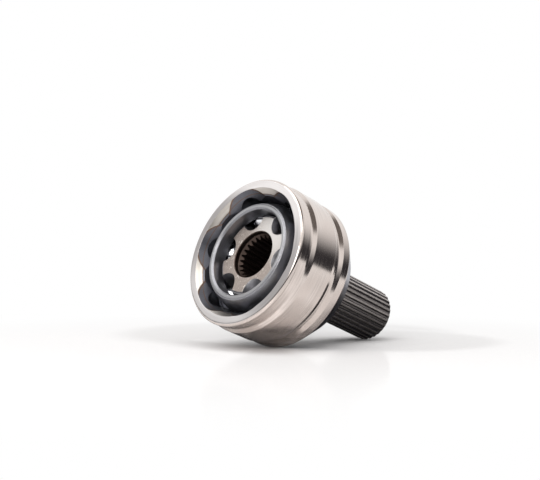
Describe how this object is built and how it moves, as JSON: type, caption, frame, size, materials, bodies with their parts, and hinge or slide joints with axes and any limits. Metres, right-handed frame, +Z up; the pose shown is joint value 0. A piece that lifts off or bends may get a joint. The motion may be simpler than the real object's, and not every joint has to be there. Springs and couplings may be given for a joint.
{
  "type": "fixed constant-velocity joint",
  "caption": "Bell-shaped outer race with splined stub, windowed cage, splined inner race and steel balls, articulating as a constant-velocity joint.",
  "frame": {"origin": "articulation centre: where the axes of the outer race and the inner race cross, on the hinge axis of the cage", "axes": "+Z up, +Y along the articulation axis, +X in plan from the open mouth towards the splined stub. The joint lies on its rear land and stub end, so the outer race's axis dips 20.83 degrees below +X"},
  "size_m": [0.1338, 0.0932, 0.1004],
  "materials": {
    "turned_steel": "turned and part polished, darker at the tracks and the stub",
    "cage_steel": "dark satin, case hardened",
    "inner_race_steel": "shot blasted",
    "ball_steel": "mirror"
  },
  "bodies": {
    "outer_race": {"outer_race": "turned_steel"},
    "cage": {"cage": "cage_steel"},
    "inner_race": {"inner_race": "inner_race_steel"},
    "ball_1": {"ball_1": "ball_steel"},
    "ball_2": {"ball_2": "ball_steel"},
    "ball_3": {"ball_3": "ball_steel"},
    "ball_4": {"ball_4": "ball_steel"},
    "ball_5": {"ball_5": "ball_steel"},
    "ball_6": {"ball_6": "ball_steel"}
  },
  "joints": [
    {"name": "articulation", "type": "hinge", "parent": "outer_race", "child": "inner_race", "pos_m": [0, 0, 0], "axis": [0, 1, 0], "range_deg": [-49.4, 40.6]},
    {"name": "cage_swing", "type": "hinge", "parent": "outer_race", "child": "cage", "pos_m": [0, 0, 0], "axis": [0, 1, 0], "range_deg": [-24.8, 20.4]},
    {"name": "ball_1_track", "type": "hinge", "parent": "outer_race", "child": "ball_1", "pos_m": [-0.00234, 0, 0.00089], "axis": [0.2125, 0.8018, 0.5586], "range_deg": [-20.26, 16.67]},
    {"name": "ball_2_track", "type": "hinge", "parent": "outer_race", "child": "ball_2", "pos_m": [-0.00234, 0, 0.00089], "axis": [0.3532, -0.1167, 0.9282], "range_deg": [-2.57, 3.1]},
    {"name": "ball_3_track", "type": "hinge", "parent": "outer_race", "child": "ball_3", "pos_m": [-0.00234, 0, 0.00089], "axis": [0.1407, -0.9184, 0.3697], "range_deg": [-18.89, 22.96]},
    {"name": "ball_4_track", "type": "hinge", "parent": "outer_race", "child": "ball_4", "pos_m": [-0.00234, 0, 0.00089], "axis": [-0.2125, -0.8018, -0.5586], "range_deg": [-16.67, 20.26]},
    {"name": "ball_5_track", "type": "hinge", "parent": "outer_race", "child": "ball_5", "pos_m": [-0.00234, 0, 0.00089], "axis": [-0.3532, 0.1167, -0.9282], "range_deg": [-3.1, 2.56]},
    {"name": "ball_6_track", "type": "hinge", "parent": "outer_race", "child": "ball_6", "pos_m": [-0.00234, 0, 0.00089], "axis": [-0.1407, 0.9184, -0.3697], "range_deg": [-22.96, 18.89]}
  ],
  "couplings": [
    {"joint": "cage_swing", "follows": "articulation", "ratio": 0.5},
    {"joint": "ball_1_track", "follows": "articulation", "ratio": 0.4081},
    {"joint": "ball_2_track", "follows": "articulation", "ratio": -0.0607},
    {"joint": "ball_3_track", "follows": "articulation", "ratio": -0.4628},
    {"joint": "ball_4_track", "follows": "articulation", "ratio": -0.4081},
    {"joint": "ball_5_track", "follows": "articulation", "ratio": 0.0606},
    {"joint": "ball_6_track", "follows": "articulation", "ratio": 0.4628}
  ]
}
